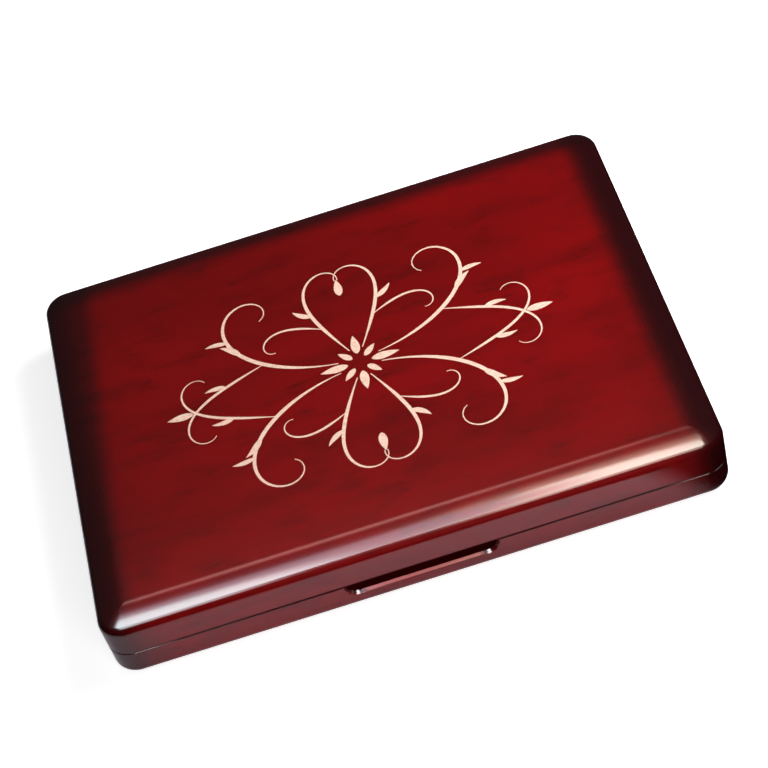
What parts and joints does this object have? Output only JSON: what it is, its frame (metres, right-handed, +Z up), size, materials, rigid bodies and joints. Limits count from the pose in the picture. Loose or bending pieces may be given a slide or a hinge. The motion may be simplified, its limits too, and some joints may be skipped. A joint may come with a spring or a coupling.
{
  "type": "reed case",
  "caption": "Flat hinged wooden case for saxophone reeds, with a bevelled lid, a finger scoop in front, velvet beds, lane strips and brass retaining bars inside.",
  "frame": {"origin": "middle of the underside, on the felt sheet that the case rests on", "axes": "+X along the long side to the right, +Y from the finger scoop in front to the hinges behind, +Z up"},
  "size_m": [0.16, 0.122, 0.0193],
  "materials": {
    "lacquered_wood": "dark cherry red stain under satin-gloss lacquer",
    "strip_wood": "thin hardwood strips, stained dark cherry and lacquered",
    "engraved_wood": "bare pale wood where the lid's ornament is engraved through the lacquer",
    "velvet": "short-pile black velvet",
    "felt": "pressed wool felt, black",
    "brass": "polished brass, clear lacquered",
    "magnet_nickel": "nickel-plated disc magnet"
  },
  "bodies": {
    "base": {"base_shell": "lacquered_wood", "base_felt": "felt", "base_reed_bed": "velvet", "base_wall_lining": "velvet", "base_lane_strips": "strip_wood", "base_retainer_bar": "brass", "base_bar_screws": "brass", "base_magnet_left": "magnet_nickel", "base_magnet_right": "magnet_nickel", "hinge_left_base_leaf": "brass", "hinge_left_base_screws": "brass", "hinge_left_pin": "brass", "hinge_right_base_leaf": "brass", "hinge_right_base_screws": "brass", "hinge_right_pin": "brass"},
    "lid": {"lid_shell": "lacquered_wood", "lid_reed_bed": "velvet", "lid_wall_lining": "velvet", "lid_lane_strips": "strip_wood", "lid_retainer_bar": "brass", "lid_bar_screws": "brass", "lid_magnet_left": "magnet_nickel", "lid_magnet_right": "magnet_nickel", "hinge_left_lid_leaf": "brass", "hinge_left_lid_screws": "brass", "hinge_right_lid_leaf": "brass", "hinge_right_lid_screws": "brass"}
  },
  "joints": [
    {"name": "lid_hinge", "type": "hinge", "parent": "base", "child": "lid", "pos_m": [0, 0.059, 0.0089], "axis": [-1, 0, 0], "range_deg": [0, 100]}
  ]
}
